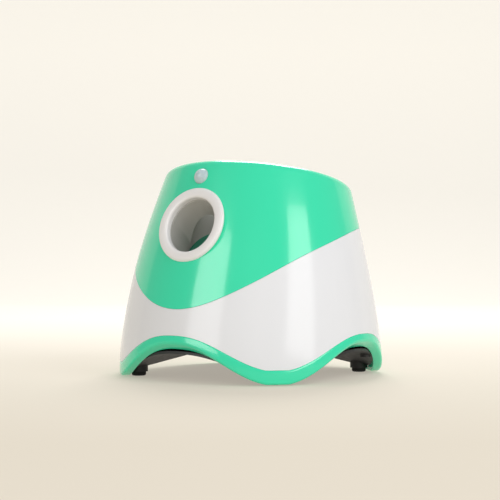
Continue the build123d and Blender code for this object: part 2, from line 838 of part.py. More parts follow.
def make_sector_gear():
    first_tooth = toward_rack - (sector_teeth - 1) * tooth_step
    lane = (-sector_half_width, sector_half_width)
    gear = spur(rack_module, sector_full_teeth, lane, sector_at, first_tooth, sector_teeth)
    return on_axle(gear + wheel(sector_lane, sector_at, second_at), sector_hub_radius, sector_at)


def make_second_gear():
    gear = pinion(sector_lane, second_at, sector_at) + wheel(second_lane, second_at, first_at)
    return on_axle(gear, hub_radius, second_at)


def make_first_gear():
    gear = pinion(second_lane, first_at, second_at) + wheel(first_lane, first_at, motor_at)
    return on_axle(gear, hub_radius, first_at)


def make_motor_pinion():
    return pinion(first_lane, motor_at, first_at) - x_hole(motor_shaft_radius, motor_at)


def make_motor_shaft():
    return x_rod(motor_shaft_radius, shaft_start, motor_end + shaft_tail, motor_at)


def make_motor():
    can = x_rod(motor_radius, plate_outer, motor_end, motor_at)
    can = fillet(can.edges().filter_by(GeomType.CIRCLE), motor_round)
    can += x_rod(motor_nose_radius, plate_outer - motor_nose, motor_end + motor_tail, motor_at)
    y, z = motor_at
    for middle in (y - terminal_offset, y + terminal_offset):
        can += block(motor_end - terminal_proud, motor_end + terminal_proud,
                     middle - terminal_width / 2, middle + terminal_width / 2,
                     z - terminal_height / 2, z + terminal_height / 2)
    return can - x_hole(motor_shaft_radius + axle_gap, motor_at)


motor_screw_places = [(motor_at[0] + side * motor_screw_offset, motor_at[1]) for side in (-1, 1)]


def make_motor_screws():
    screws = []
    for place in motor_screw_places:
        head = x_rod(screw_head_radius, plate_inner - screw_head_height, plate_inner, place)
        screws.append(head + x_rod(shank_radius, plate_inner, plate_outer, place))
    return group(screws)


def make_gear_axles():
    reach = plate_outer + axle_overhang
    return group([x_rod(axle_radius, -reach, reach, place) for place in gear_places])


def make_axle_clips():
    clips = []
    for place in gear_places:
        for side in (-1, 1):
            clip = x_rod(clip_radius, side * plate_outer, side * (plate_outer + clip_thickness), place)
            clips.append(clip - x_hole(axle_radius, place))
    return group(clips)


def make_frame_plate(side):
    """One side plate of the drive frame; the motor hangs on the +X one."""
    front_low = side_point(barrel_end + seat_gap, -barrel_outer_radius)
    front_high = side_point(barrel_end + seat_gap, barrel_outer_radius)
    rear_low = (plate_outline[0][0], deck_top)
    outline = [(front_low[0], deck_top), rear_low, *plate_outline, front_high, front_low]
    start = plate_inner if side > 0 else -plate_outer
    plate = extrude(Plane.YZ.offset(start) * make_face(Polyline(*outline, close=True)), plate_thickness)
    for y in frame_tab_places:
        near, away = sorted((side * plate_inner, side * (plate_outer + frame_tab_reach)))
        half = frame_tab_width / 2
        plate += block(near, away, y - half, y + half, deck_top, deck_top + plate_thickness)
        plate -= z_rod(screw_radius, deck_low, 2 * deck_top, tab_screw_x(side), y)
    for place in gear_places:
        plate -= x_hole(axle_radius, place)
    screw_places = spacer_places + (motor_screw_places if side > 0 else [])
    for place in screw_places:
        plate -= x_hole(screw_radius, place)
    return plate - x_hole(motor_nose_radius + seat_gap if side > 0 else motor_end_hole, motor_at)


def make_frame_left():
    return make_frame_plate(-1)


def make_frame_right():
    return make_frame_plate(1)


def tab_screw_x(side):
    return side * (plate_outer + frame_tab_reach / 2)


def make_frame_spacers():
    rods = []
    for place in spacer_places:
        rods.append(x_rod(spacer_radius, -plate_inner, plate_inner, place) - x_hole(screw_radius, place))
    return group(rods)


def make_frame_screws():
    screws = []
    for place in spacer_places:
        for side in (-1, 1):
            head = x_rod(large_head_radius + seat_gap, side * plate_outer,
                         side * (plate_outer + large_head_height), place)
            shank = x_rod(shank_radius, side * (plate_inner - spacer_screw_reach), side * plate_outer, place)
            screws.append(head + shank)
    return group(screws)


def make_tab_screws():
    screws = []
    top = deck_top + plate_thickness
    for side in (-1, 1):
        for y in frame_tab_places:
            head = z_rod(large_head_radius, top, top + large_head_height, tab_screw_x(side), y)
            screws.append(head + z_rod(shank_radius, deck_top, top, tab_screw_x(side), y))
    return group(screws)


# ---------------------------------------------------------------- battery bay
cell_front = box_front_y + box_wall + contact_thickness + seat_gap
cell_rear = cell_front + cell_length
contact_rear = box_rear_y - box_wall - contact_thickness
cell_places = [(number - (cell_count - 1) / 2) * cell_pitch for number in range(cell_count)]


def make_battery_box():
    half = box_half_width
    box = block(-half, half, box_front_y, box_rear_y, deck_top, box_top + box_wall)
    return box - block(-half + box_wall, half - box_wall, box_front_y + box_wall,
                       box_rear_y - box_wall, deck_top - 1, box_top)


def make_battery_cells():
    cells = []
    can_length = cell_length - cell_tip_length
    for x in cell_places:
        at_front = Plane(origin=(x, cell_front, cell_z), z_dir=(0, 1, 0))
        can = extrude(at_front * Circle(cell_radius), can_length)
        cells.append(can + extrude(at_front.offset(can_length) * Circle(cell_tip_radius), cell_tip_length))
    return group(cells)


def make_battery_contacts():
    plates = []
    for number in range(cell_count // 2):
        middle = cell_places[2 * number] + cell_pitch / 2
        for y in (box_front_y + box_wall, contact_rear):
            plates.append(block(middle - contact_reach, middle + contact_reach, y, y + contact_thickness,
                                cell_z - contact_half_height, cell_z + contact_half_height))
    return group(plates)


def make_contact_springs():
    springs = []
    length = contact_rear - cell_rear - 2 * contact_wire_radius
    for x in cell_places:
        coil = Helix(pitch=length / contact_turns, height=length, radius=contact_spring_radius)
        profile = Plane(origin=coil @ 0, z_dir=coil % 0) * RegularPolygon(contact_wire_radius, 4)
        seat = Plane(origin=(x, cell_rear + contact_wire_radius, cell_z), z_dir=(0, 1, 0))
        springs.append(seat.location * sweep(profile, path=coil, is_frenet=True))
    return group(springs)


def make_battery_door():
    half = door_half_width - fit_gap
    door = block(-half, half, door_front_y + fit_gap, door_rear_y - fit_gap, deck_low, deck_top)
    groove_top = deck_low + grip_depth
    for number in range(grip_count):
        y = door_rear_y - grip_start - grip_pitch * number
        door -= block(-grip_half_length, grip_half_length, y, y + grip_width, deck_low - 1, groove_top)
    return door


# ---------------------------------------------------------------- control panel and power inlet
def make_control_board():
    board = box_in(control_plane, board_width, board_height, board_face, board_back)
    board += box_in(control_plane, chip_size, chip_size, board_back, board_back + chip_height, x=chip_x)
    board += rod_in(control_plane, capacitor_radius, board_back, board_back + capacitor_height, x=capacitor_x)
    for x, y in post_corners:
        board -= rod_in(control_plane, screw_radius, board_face - 1, board_back + 1, x, y)
    return board


def make_board_screws():
    screws = []
    head_end = board_back + screw_head_height
    for x, y in post_corners:
        screws.append(rod_in(control_plane, screw_head_radius, board_back, head_end, x, y)
                      + rod_in(control_plane, shank_radius, board_face, board_back, x, y))
    return group(screws)


def make_tact_switches():
    switches = []
    body_top = switch_top + switch_plunger_height
    for plane in button_planes:
        body = box_in(plane, switch_size, switch_size, body_top, board_depth)
        switches.append(body + rod_in(plane, switch_plunger_radius, switch_top, body_top))
    return group(switches)


def make_button(plane):
    """A key that the wall holds by the flange behind it."""
    flange_end = button_flange_depth + button_flange_thickness
    cap = rod_in(plane, button_radius, -button_proud, button_flange_depth)
    cap = fillet(cap.edges().filter_by(GeomType.CIRCLE).sort_by(Axis.Y)[-1], button_round)
    cap += rod_in(plane, button_radius + button_flange, button_flange_depth, flange_end)
    return cap + rod_in(plane, button_stem_radius, flange_end, stem_end)


def make_power_button():
    return make_button(button_planes[0])


def make_range_button():
    return make_button(button_planes[1])


def make_light_pipes():
    end = board_face - led_height - seat_gap
    return group([rod_in(control_plane, pipe_radius, -pipe_proud, end, x=x) for x in light_places])


def make_status_leds():
    leds = []
    base = board_face - led_base_height
    for x in light_places:
        leds.append(rod_in(control_plane, led_radius, board_face - led_height, base, x=x)
                    + rod_in(control_plane, led_base_radius, base, board_face, x=x))
    return group(leds)


def make_buzzer():
    body = rod_in(control_plane, buzzer_radius, board_back, board_back + buzzer_height)
    return body - rod_in(control_plane, buzzer_hole_radius, board_back + buzzer_height - 1,
                         board_back + buzzer_height + 1)


def make_dc_jack():
    """A coaxial inlet. Its flange and nut seat on the curved wall."""
    jack = rod_in(jack_plane, jack_flange_radius, -jack_flange_proud, 0.0)
    jack += rod_in(jack_plane, jack_body_radius, 0.0, jack_body_depth)
    jack += rod_in(jack_plane, jack_flange_radius, *jack_nut)
    jack -= rod_in(jack_plane, jack_bore_radius, -jack_flange_proud - 1, jack_bore_depth)
    jack += rod_in(jack_plane, jack_pin_radius, jack_pin_recess, jack_bore_depth)
    around = rod_in(jack_plane, 2 * jack_flange_radius, *shell_cut)
    around -= rod_in(jack_plane, jack_body_radius + seat_gap, *shell_cut)
    return jack - (casing & around)


pieces = {
    "upper_shell": (make_upper_shell, GREEN),
    "lower_shell": (make_lower_shell, WHITE),
    "base_trim": (make_base_trim, GREEN),
    "base_pan": (make_base_pan, BLACK),
    "rubber_feet": (make_rubber_feet, BLACK),
    "pan_screws": (make_pan_screws, STEEL),
    "hopper": (make_hopper, WHITE),
    "chute": (make_chute, WHITE),
    "chute_screws": (make_chute_screws, STEEL),
    "barrel": (make_barrel, WHITE),
    "muzzle_ring": (make_muzzle_ring, WHITE),
    "pir_lens": (make_pir_lens, WHITE),
    "pir_sensor": (make_pir_sensor, STEEL),
    "pir_board": (make_pir_board, BOARD),
    "pir_screws": (make_pir_screws, STEEL),
    "ball_sensors": (make_ball_sensors, BLACK),
    "striker_head": (make_striker_head, GREEN),
    "striker_bar": (make_striker_bar, WHITE),
    "striker_spring": (make_striker_spring, STEEL),
    "spring_cap": (make_spring_cap, GREY),
    "bar_guide": (make_bar_guide, GREY),
    "sector_gear": (make_sector_gear, WHITE),
    "second_gear": (make_second_gear, WHITE),
    "first_gear": (make_first_gear, WHITE),
    "motor_pinion": (make_motor_pinion, BRASS),
    "motor_shaft": (make_motor_shaft, STEEL),
    "motor": (make_motor, STEEL),
    "motor_screws": (make_motor_screws, STEEL),
    "gear_axles": (make_gear_axles, STEEL),
    "axle_clips": (make_axle_clips, STEEL),
    "frame_left": (make_frame_left, GREY),
    "frame_right": (make_frame_right, GREY),
    "frame_spacers": (make_frame_spacers, STEEL),
    "frame_screws": (make_frame_screws, STEEL),
    "tab_screws": (make_tab_screws, STEEL),
    "battery_box": (make_battery_box, BLACK),
    "battery_cells": (make_battery_cells, GREY),
    "battery_contacts": (make_battery_contacts, STEEL),
    "contact_springs": (make_contact_springs, STEEL),
    "battery_door": (make_battery_door, BLACK),
    "control_board": (make_control_board, BOARD),
    "board_screws": (make_board_screws, STEEL),
    "tact_switches": (make_tact_switches, BLACK),
    "power_button": (make_power_button, GREEN),
    "range_button": (make_range_button, GREEN),
    "light_pipes": (make_light_pipes, WHITE),
    "status_leds": (make_status_leds, WHITE),
    "buzzer": (make_buzzer, BLACK),
    "dc_jack": (make_dc_jack, BLACK),
}

for name, (make, colour) in pieces.items():
    save(make(), name, colour)
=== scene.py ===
import json
import math
import bmesh
import bpy
import numpy as np
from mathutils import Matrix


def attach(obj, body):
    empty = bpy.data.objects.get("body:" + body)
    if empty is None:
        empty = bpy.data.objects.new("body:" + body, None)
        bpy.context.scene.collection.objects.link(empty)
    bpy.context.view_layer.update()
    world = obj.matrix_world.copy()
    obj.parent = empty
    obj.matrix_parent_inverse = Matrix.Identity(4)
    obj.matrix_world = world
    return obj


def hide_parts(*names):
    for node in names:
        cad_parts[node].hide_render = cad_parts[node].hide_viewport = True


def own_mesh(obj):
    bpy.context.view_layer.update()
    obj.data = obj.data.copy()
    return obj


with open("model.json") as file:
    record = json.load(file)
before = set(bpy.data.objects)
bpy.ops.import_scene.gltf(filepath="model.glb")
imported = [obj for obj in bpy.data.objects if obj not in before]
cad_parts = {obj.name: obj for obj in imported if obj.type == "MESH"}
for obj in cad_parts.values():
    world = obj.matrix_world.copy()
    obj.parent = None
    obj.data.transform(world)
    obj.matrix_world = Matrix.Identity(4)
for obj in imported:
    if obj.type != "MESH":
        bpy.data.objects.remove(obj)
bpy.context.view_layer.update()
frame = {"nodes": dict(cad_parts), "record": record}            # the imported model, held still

sharpEdge = 35               # degrees; an edge that bends more stays sharp
pole = 1e-5                  # a turned profile starts and ends this far off its axis


def smoothThrough(knots, values):
    # Natural cubic: h0 m0 + 2 (h0 + h1) m1 + h1 m2 = 6 (slope1 - slope0) for the curvatures m,
    # which are 0 at both ends.
    x, y = np.array(knots, float), np.array(values, float)
    h = np.diff(x)
    inner = np.arange(1, len(x) - 1)
    system, right = np.eye(len(x)), np.zeros(len(x))
    system[inner, inner - 1] = h[:-1]
    system[inner, inner] = 2 * (h[:-1] + h[1:])
    system[inner, inner + 1] = h[1:]
    right[inner] = 6 * np.diff(np.diff(y) / h)
    bend = np.linalg.solve(system, right)

    def curve(at):
        at = np.clip(at, x[0], x[-1])
        i = np.clip(np.searchsorted(x, at) - 1, 0, len(h) - 1)
        a, b = (x[i + 1] - at) / h[i], (at - x[i]) / h[i]
        cubic = ((a ** 3 - a) * bend[i] + (b ** 3 - b) * bend[i + 1]) * h[i] ** 2 / 6
        return a * y[i] + b * y[i + 1] + cubic
    return curve


def unit(vectors):
    # Every vector divided by its own length.
    vectors = np.asarray(vectors, float)
    return vectors / np.linalg.norm(vectors, axis=-1, keepdims=True)


def gridPiece(name, grid, closeRows=False, closeCols=True, sharp=sharpEdge):
    # Quads between neighbouring rows and columns; a closed way joins its last line to its first.
    rows, cols = grid.shape[:2]
    r = np.arange(rows if closeRows else rows - 1)[:, None]
    c = np.arange(cols if closeCols else cols - 1)[None, :]
    up, on = (r + 1) % rows, (c + 1) % cols
    quads = np.stack([r * cols + c, r * cols + on, up * cols + on, up * cols + c], -1).reshape(-1, 4)
    mesh = bpy.data.meshes.new(name)
    mesh.from_pydata(grid.reshape(-1, 3).tolist(), [], quads.tolist())
    piece = bpy.data.objects.new(name, mesh)
    bpy.context.scene.collection.objects.link(piece)
    tidyMesh(mesh, sharp)
    return piece


def tidyMesh(mesh, sharp):
    # Doubles merged, faces turned outwards, smooth but for edges sharper than the angle.
    work = bmesh.new()
    work.from_mesh(mesh)
    bmesh.ops.remove_doubles(work, verts=work.verts, dist=1e-7)
    bmesh.ops.recalc_face_normals(work, faces=work.faces)
    work.to_mesh(mesh)
    work.free()
    mesh.polygons.foreach_set("use_smooth", np.ones(len(mesh.polygons), bool))
    mesh.set_sharp_from_angle(angle=math.radians(sharp))


def turned(name, profile, centre, axis, cols=144, sharp=sharpEdge):
    # Every profile point (r, w) goes round the axis: centre + w axis + r (side cos t + other sin t).
    axis = unit(axis)
    side = np.array([1.0, 0, 0])
    other = np.cross(axis, side)
    t = np.linspace(0, 2 * np.pi, cols, endpoint=False)
    around = np.cos(t)[:, None] * side + np.sin(t)[:, None] * other
    r, w = np.array(profile, float).T
    grid = np.array(centre) + w[:, None, None] * axis + r[:, None, None] * around
    return gridPiece(name, grid, closeRows=True, sharp=sharp)


def quarterArc(cx, cy, radius, start, end, steps=6):
    # Points (cx + radius cos a, cy + radius sin a) from one angle to the other, in degrees.
    a = np.radians(np.linspace(start, end, steps))
    return [(cx + radius * math.cos(v), cy + radius * math.sin(v)) for v in a]


def bore(piece, centre, outward, radius, reach):
    # Cuts a round hole with a cylinder that runs from -reach to reach along outward.
    profile = [(pole, -reach), (radius, -reach), (radius, reach), (pole, reach)]
    cutter = turned("cutter", profile, centre, outward)
    cut = piece.modifiers.new("hole", "BOOLEAN")
    cut.operation, cut.solver, cut.object = "DIFFERENCE", "EXACT", cutter
    bpy.context.view_layer.update()
    finished = piece.evaluated_get(bpy.context.evaluated_depsgraph_get())
    made = bpy.data.meshes.new_from_object(finished)
    piece.modifiers.clear()
    piece.data = made
    made.name = piece.name
    bpy.data.objects.remove(cutter)
    tidyMesh(made, sharpEdge)


def newMaterial(name):
    # A node material and its Principled shader.
    material = bpy.data.materials.new(name)
    material.use_nodes = True
    nodes, links = material.node_tree.nodes, material.node_tree.links
    shader = nodes["Principled BSDF"]
    return material, nodes, links, shader


def noiseOn(nodes, links, scale, detail=2.0, stretch=(1, 1, 1)):
    # Noise on Object coordinates, stretched where a finish runs one way.
    place = nodes.new("ShaderNodeTexCoord")
    mapping = nodes.new("ShaderNodeMapping")
    mapping.inputs["Scale"].default_value = stretch
    noise = nodes.new("ShaderNodeTexNoise")
    noise.inputs["Scale"].default_value = scale
    noise.inputs["Detail"].default_value = detail
    links.new(place.outputs["Object"], mapping.inputs["Vector"])
    links.new(mapping.outputs["Vector"], noise.inputs["Vector"])
    return noise


def spread(nodes, links, source, low, high):
    # A noise stays mostly between .3 and .7; that span is mapped onto low to high.
    remap = nodes.new("ShaderNodeMapRange")
    remap.inputs["From Min"].default_value, remap.inputs["From Max"].default_value = .3, .7
    remap.inputs["To Min"].default_value, remap.inputs["To Max"].default_value = low, high
    links.new(source, remap.inputs["Value"])
    return remap.outputs["Result"]


def mixOf(nodes, links, factor, first, second):
    # first where the factor is 0 and second where it is 1.
    mix = nodes.new("ShaderNodeMix")
    mix.data_type = "RGBA"
    mix.inputs["A"].default_value = (*first, 1)
    mix.inputs["B"].default_value = (*second, 1)
    links.new(factor, mix.inputs["Factor"])
    return mix.outputs["Result"]


def addBump(nodes, links, shader, height, strength, depth):
    bump = nodes.new("ShaderNodeBump")
    bump.inputs["Strength"].default_value = strength
    bump.inputs["Distance"].default_value = depth
    links.new(height, bump.inputs["Height"])
    links.new(bump.outputs["Normal"], shader.inputs["Normal"])


def mouldedPlastic(name, look):
    # Slow drift of the colour, fine moulding grain in the normal and slight rub marks in the gloss.
    material, nodes, links, shader = newMaterial(name)
    drift = noiseOn(nodes, links, look["driftScale"], detail=3)
    tone = mixOf(nodes, links, drift.outputs["Fac"], look["colour"], look["deeper"])
    links.new(tone, shader.inputs["Base Color"])
    rub = noiseOn(nodes, links, look["rubScale"], detail=5, stretch=look.get("rubRun", (1, 1, 1)))
    gloss = spread(nodes, links, rub.outputs["Fac"], *look["roughness"])
    links.new(gloss, shader.inputs["Roughness"])
    shader.inputs["Specular IOR Level"].default_value = look.get("shine", .5)
    shader.inputs["Coat Weight"].default_value = look.get("coat", 0)
    shader.inputs["Coat Roughness"].default_value = look.get("coatRoughness", .05)
    shader.inputs["Subsurface Weight"].default_value = look.get("glow", 0)
    shader.inputs["Subsurface Radius"].default_value = (.002, .002, .002)
    shader.inputs["Subsurface Scale"].default_value = 1.0
    grain = noiseOn(nodes, links, look["grainScale"], detail=2)
    addBump(nodes, links, shader, grain.outputs["Fac"], look["grain"], look["grainDepth"])
    return material


def metal(name, look):
    # Brushed or plated metal: fine lines along one way in the roughness and the normal.
    material, nodes, links, shader = newMaterial(name)
    shader.inputs["Metallic"].default_value = 1
    drift = noiseOn(nodes, links, scale=90, detail=3)
    tone = mixOf(nodes, links, drift.outputs["Fac"], look["colour"], look["deeper"])
    links.new(tone, shader.inputs["Base Color"])
    lines = noiseOn(nodes, links, scale=900, detail=3, stretch=look.get("run", (1, 1, 1)))
    gloss = spread(nodes, links, lines.outputs["Fac"], *look["roughness"])
    links.new(gloss, shader.inputs["Roughness"])
    addBump(nodes, links, shader, lines.outputs["Fac"], strength=.1, depth=2e-5)
    return material


plasticLooks = {
    "mint_plastic": {
        "colour": (.038, .75, .43), "deeper": (.034, .72, .41), "driftScale": 7, "rubScale": 60,
        "roughness": (.13, .17), "grainScale": 2600, "grain": .05, "grainDepth": 2e-5, "shine": .5,
        "coat": .3, "glow": .04},
    "mint_keys": {
        "colour": (.034, .7, .4), "deeper": (.03, .66, .38), "driftScale": 90, "rubScale": 300,
        "roughness": (.28, .36), "grainScale": 5200, "grain": .15, "grainDepth": 2e-5},
    "white_plastic": {
        "colour": (.80, .80, .815), "deeper": (.775, .778, .795), "driftScale": 6, "rubScale": 55,
        "roughness": (.14, .18), "grainScale": 2600, "grain": .05, "grainDepth": 2e-5, "shine": .3,
        "glow": .05},
    "ring_white_plastic": {
        "colour": (.84, .82, .81), "deeper": (.81, .79, .78), "driftScale": 30, "rubScale": 120,
        "roughness": (.2, .27), "grainScale": 3600, "grain": .08, "grainDepth": 2e-5, "glow": .05},
    # Painted shade: this plastic is white, but its colour is set to grey to stand for the shade inside
    # the barrel; the hopper bowl gets the same grey.
    "inner_white_plastic": {
        "colour": (.46, .45, .42), "deeper": (.42, .41, .38), "driftScale": 25, "rubScale": 160,
        "rubRun": (1, 1, 8), "roughness": (.3, .42), "grainScale": 3000, "grain": .12,
        "grainDepth": 3e-5},
    "green_rubber": {
        "colour": (.012, .17, .1), "deeper": (.009, .14, .08), "driftScale": 60, "rubScale": 260,
        "roughness": (.34, .5), "grainScale": 4200, "grain": .3, "grainDepth": 4e-5},
    "black_plastic": {
        "colour": (.016, .016, .017), "deeper": (.011, .011, .012), "driftScale": 40, "rubScale": 220,
        "roughness": (.42, .55), "grainScale": 3400, "grain": .45, "grainDepth": 6e-5},
    "black_rubber": {
        "colour": (.014, .014, .015), "deeper": (.01, .01, .01), "driftScale": 60, "rubScale": 300,
        "roughness": (.6, .75), "grainScale": 2400, "grain": .5, "grainDepth": 8e-5, "shine": .3},
    "grey_plastic": {
        "colour": (.16, .165, .18), "deeper": (.13, .135, .15), "driftScale": 40, "rubScale": 200,
        "roughness": (.38, .48), "grainScale": 3200, "grain": .25, "grainDepth": 4e-5},
    "nylon": {
        "colour": (.72, .71, .64), "deeper": (.66, .64, .57), "driftScale": 70, "rubScale": 240,
        "roughness": (.3, .4), "grainScale": 4200, "grain": .12, "grainDepth": 2e-5, "glow": .15},
    "cell_jacket": {
        "colour": (.05, .05, .055), "deeper": (.035, .035, .04), "driftScale": 50, "rubScale": 240,
        "roughness": (.16, .24), "grainScale": 3000, "grain": .05, "grainDepth": 2e-5, "coat": .5},
}
metalLooks = {
    "brass": {
        "colour": (.72, .52, .2), "deeper": (.66, .46, .17), "roughness": (.2, .3), "run": (30, 1, 1)},
    "ground_steel": {
        "colour": (.58, .58, .6), "deeper": (.5, .5, .52), "roughness": (.18, .28), "run": (1, 12, 12)},
    "zinc_screws": {
        "colour": (.56, .57, .6), "deeper": (.47, .48, .52), "roughness": (.25, .38)},
    "spring_steel": {
        "colour": (.32, .33, .35), "deeper": (.25, .26, .28), "roughness": (.22, .34)},
    "nickel_can": {
        "colour": (.6, .59, .55), "deeper": (.53, .52, .49), "roughness": (.16, .26),
        "run": (1, 12, 12)},
    "nickel_strip": {
        "colour": (.66, .63, .57), "deeper": (.58, .55, .5), "roughness": (.2, .3), "run": (12, 1, 12)},
}


lensLook = {"colour": (.62, .74, .77), "deeper": (.4, .5, .54), "toneScale": 260, "roughness": .22,
            "glow": .5, "glowReach": (.003, .003, .0035), "facetScale": 420, "facet": .35,
            "facetDepth": 2e-4}


def milkyLens(name):
    # Thick milky plastic; the small lens facets are cells in the normal.
    material, nodes, links, shader = newMaterial(name)
    drift = noiseOn(nodes, links, lensLook["toneScale"], detail=2)
    tone = mixOf(nodes, links, drift.outputs["Fac"], lensLook["colour"], lensLook["deeper"])
    links.new(tone, shader.inputs["Base Color"])
    shader.inputs["Roughness"].default_value = lensLook["roughness"]
    shader.inputs["Subsurface Weight"].default_value = lensLook["glow"]
    shader.inputs["Subsurface Radius"].default_value = lensLook["glowReach"]
    shader.inputs["Subsurface Scale"].default_value = 1.0
    place = nodes.new("ShaderNodeTexCoord")
    cells = nodes.new("ShaderNodeTexVoronoi")
    cells.feature = "SMOOTH_F1"
    cells.inputs["Scale"].default_value = lensLook["facetScale"]
    links.new(place.outputs["Object"], cells.inputs["Vector"])
    addBump(nodes, links, shader, cells.outputs["Distance"], lensLook["facet"], lensLook["facetDepth"])
    return material


pipeLook = {"colour": (.9, .93, .95), "roughness": (.08, .16), "hazeScale": 700, "through": .6}


def clearPlastic(name):
    # Part of the light goes through; a fine haze lies in the gloss.
    material, nodes, links, shader = newMaterial(name)
    haze = noiseOn(nodes, links, pipeLook["hazeScale"], detail=2)
    gloss = spread(nodes, links, haze.outputs["Fac"], *pipeLook["roughness"])
    links.new(gloss, shader.inputs["Roughness"])
    shader.inputs["Base Color"].default_value = (*pipeLook["colour"], 1)
    shader.inputs["Transmission Weight"].default_value = pipeLook["through"]
    return material


boardLook = {"mask": ((.006, .075, .03), (.008, .09, .036)), "runs": (.02, .19, .075), "runScale": 260,
             "runWidth": .06, "roughness": .3, "grainScale": 1800, "grain": .15, "grainDepth": 3e-5}


def circuitBoard(name):
    # Solder mask over copper runs: a brick pattern of thin lighter lines on the green.
    material, nodes, links, shader = newMaterial(name)
    place = nodes.new("ShaderNodeTexCoord")
    runs = nodes.new("ShaderNodeTexBrick")
    runs.inputs["Scale"].default_value = boardLook["runScale"]
    runs.inputs["Color1"].default_value = (*boardLook["mask"][0], 1)
    runs.inputs["Color2"].default_value = (*boardLook["mask"][1], 1)
    runs.inputs["Mortar"].default_value = (*boardLook["runs"], 1)
    runs.inputs["Mortar Size"].default_value = boardLook["runWidth"]
    links.new(place.outputs["Object"], runs.inputs["Vector"])
    links.new(runs.outputs["Color"], shader.inputs["Base Color"])
    shader.inputs["Roughness"].default_value = boardLook["roughness"]
    grain = noiseOn(nodes, links, boardLook["grainScale"], detail=2)
    addBump(nodes, links, shader, grain.outputs["Fac"], boardLook["grain"], boardLook["grainDepth"])
    return material


materials = {name: mouldedPlastic(name, look) for name, look in plasticLooks.items()}
materials.update({name: metal(name, look) for name, look in metalLooks.items()})
materials["lens_plastic"] = milkyLens("lens_plastic")
materials["clear_plastic"] = clearPlastic("clear_plastic")
materials["circuit_board"] = circuitBoard("circuit_board")
print("materials:", len(materials))


def seat(piece, slot, body, *nodes):
    # Dresses a new piece, lets it ride on its body and stand for its nodes.
    piece.data.materials.clear()
    piece.data.materials.append(materials[slot])
    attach(piece, body)
    if nodes:
        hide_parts(*nodes)
    return piece


# The casing is an ellipse at every height. Lengths are in metres and angles in degrees.
casing = {
    "heights": [0, .015, .060, .105, .150, .190, .216],
    "half": [.1295, .1293, .1245, .1165, .105, .0925, .0835],
    "front": [.1295, .1293, .1225, .111, .0965, .0825, .0735],
    "rear": [.1295, .1293, .1225, .112, .105, .1015, .0995],
    "wall": .0028,
    "columns": 360,
}
halfAt = smoothThrough(casing["heights"], casing["half"])
frontAt = smoothThrough(casing["heights"], casing["front"])
rearAt = smoothThrough(casing["heights"], casing["rear"])
turns = np.linspace(0, 2 * np.pi, casing["columns"], endpoint=False)


def skin(turn, height, inset=0.0):
    # At each height x = (half - inset) sin t
    # and y = (rear - front) / 2 - ((rear + front) / 2 - inset) cos t.
    a, f, r = halfAt(height), frontAt(height), rearAt(height)
    x = (a - inset) * np.sin(turn)
    y = (r - f) / 2 - ((r + f) / 2 - inset) * np.cos(turn)
    return np.stack(np.broadcast_arrays(x, y, height), -1)


def skinOut(turn, height, inset=0.0, step=1e-4):
    # Outward normal: the way round crossed with the way up.
    around = skin(turn + step, height, inset) - skin(turn - step, height, inset)
    rise = skin(turn, height + step, inset) - skin(turn, height - step, inset)
    return unit(np.cross(around, rise))


seam = {
    "forward": [.136, .122, .108, .091, .063, .026, -.010, -.050, -.112],
    "height": [.0488, .0658, .0802, .0942, .1123, .128, .1383, .1439, .147],
    "gap": .00014,
    "edge": .00022,
    "step": .002,
    "rounds": 40,
}
seamAt = smoothThrough([-f for f in seam["forward"]], seam["height"])


def seamHeight(turn):
    # Settles z = seam(y(t, z)) by repeated halving of the difference.
    height = np.full_like(turn, .1)
    for halving in range(seam["rounds"]):
        height = .5 * height + .5 * seamAt(skin(turn, height)[..., 1])
    return height


arch = {"crown": .0305, "foot": .0012, "power": 2.45, "dip": .0012, "level": .03, "band": .013,
        "depth": .009, "edge": .0022, "innerRound": .0012, "bevel": .0004,
        "shoulder": ((.82, .1), (.6, .5)), "flare": .006}


def archLine(turn, lift=0.0):
    # Between two feet: low + (crown - low)(1 - sin(2 asin(s / R)) ^ power),
    # with s the distance from the arch's middle and R the half width at the floor.
    place = skin(turn, np.full_like(turn, arch["level"]))
    side = np.minimum(abs(place[..., 0]), abs(place[..., 1]))
    bow = np.arcsin(np.minimum(side / casing["half"][1], math.sqrt(.5)))
    low = arch["foot"] - arch["dip"]
    line = low + (arch["crown"] - low) * (1 - np.sin(2 * bow) ** arch["power"])
    return np.maximum(line, arch["foot"]) + lift


rim = {"centre": (0, .012, .191), "tilt": 9.5, "round": .009, "search": (.15, .2155), "mouth": .072,
       "deck": (.010, .005), "lip": .0012, "bevel": .3, "under": .008}
rimOut = np.array([0, math.sin(math.radians(rim["tilt"])), math.cos(math.radians(rim["tilt"]))])


def rimRounding(turn, inset, radius, steps):
    # A sphere of the radius rolls inside the wall, under the rim plane;
    # the arc between its two contacts is the edge.
    plane = np.array(rim["centre"]) - inset * rimOut
    height = np.linspace(*rim["search"], 240)[:, None] + 0 * turn
    wall, out = skin(turn, height, inset), skinOut(turn, height, inset)
    over = (wall - radius * out - plane) @ rimOut + radius
    k = np.argmax(over > 0, axis=0)
    col = np.arange(len(turn))
    share = (over[k - 1, col] / (over[k - 1, col] - over[k, col]))[:, None]
    contact = wall[k - 1, col] * (1 - share) + wall[k, col] * share
    normal = unit(out[k - 1, col] * (1 - share) + out[k, col] * share)
    centre = contact - radius * normal
    swing = np.arccos(np.clip(normal @ rimOut, -1, 1))[:, None]
    part = np.linspace(0, 1, steps)[:, None, None]
    arc = (np.sin((1 - part) * swing) * normal + np.sin(part * swing) * rimOut) / np.sin(swing)
    return contact[:, 2], centre + radius * arc


def mouthRows(edge, inset, radii, drops):
    # From the rounding straight across the deck to circles about the rim's centre, by radius and drop.
    plane = np.array(rim["centre"]) - inset * rimOut
    ray = unit(edge - plane)
    places = zip(radii, drops)
    return np.array([plane + radius * ray - drop * rimOut for radius, drop in places])


def wallRows(turn, low, high, rows, inset=0.0):
    # Heights spaced evenly from the lower line to the upper one.
    share = np.linspace(0, 1, rows)[:, None]
    return skin(turn, low * (1 - share) + high * share, inset)


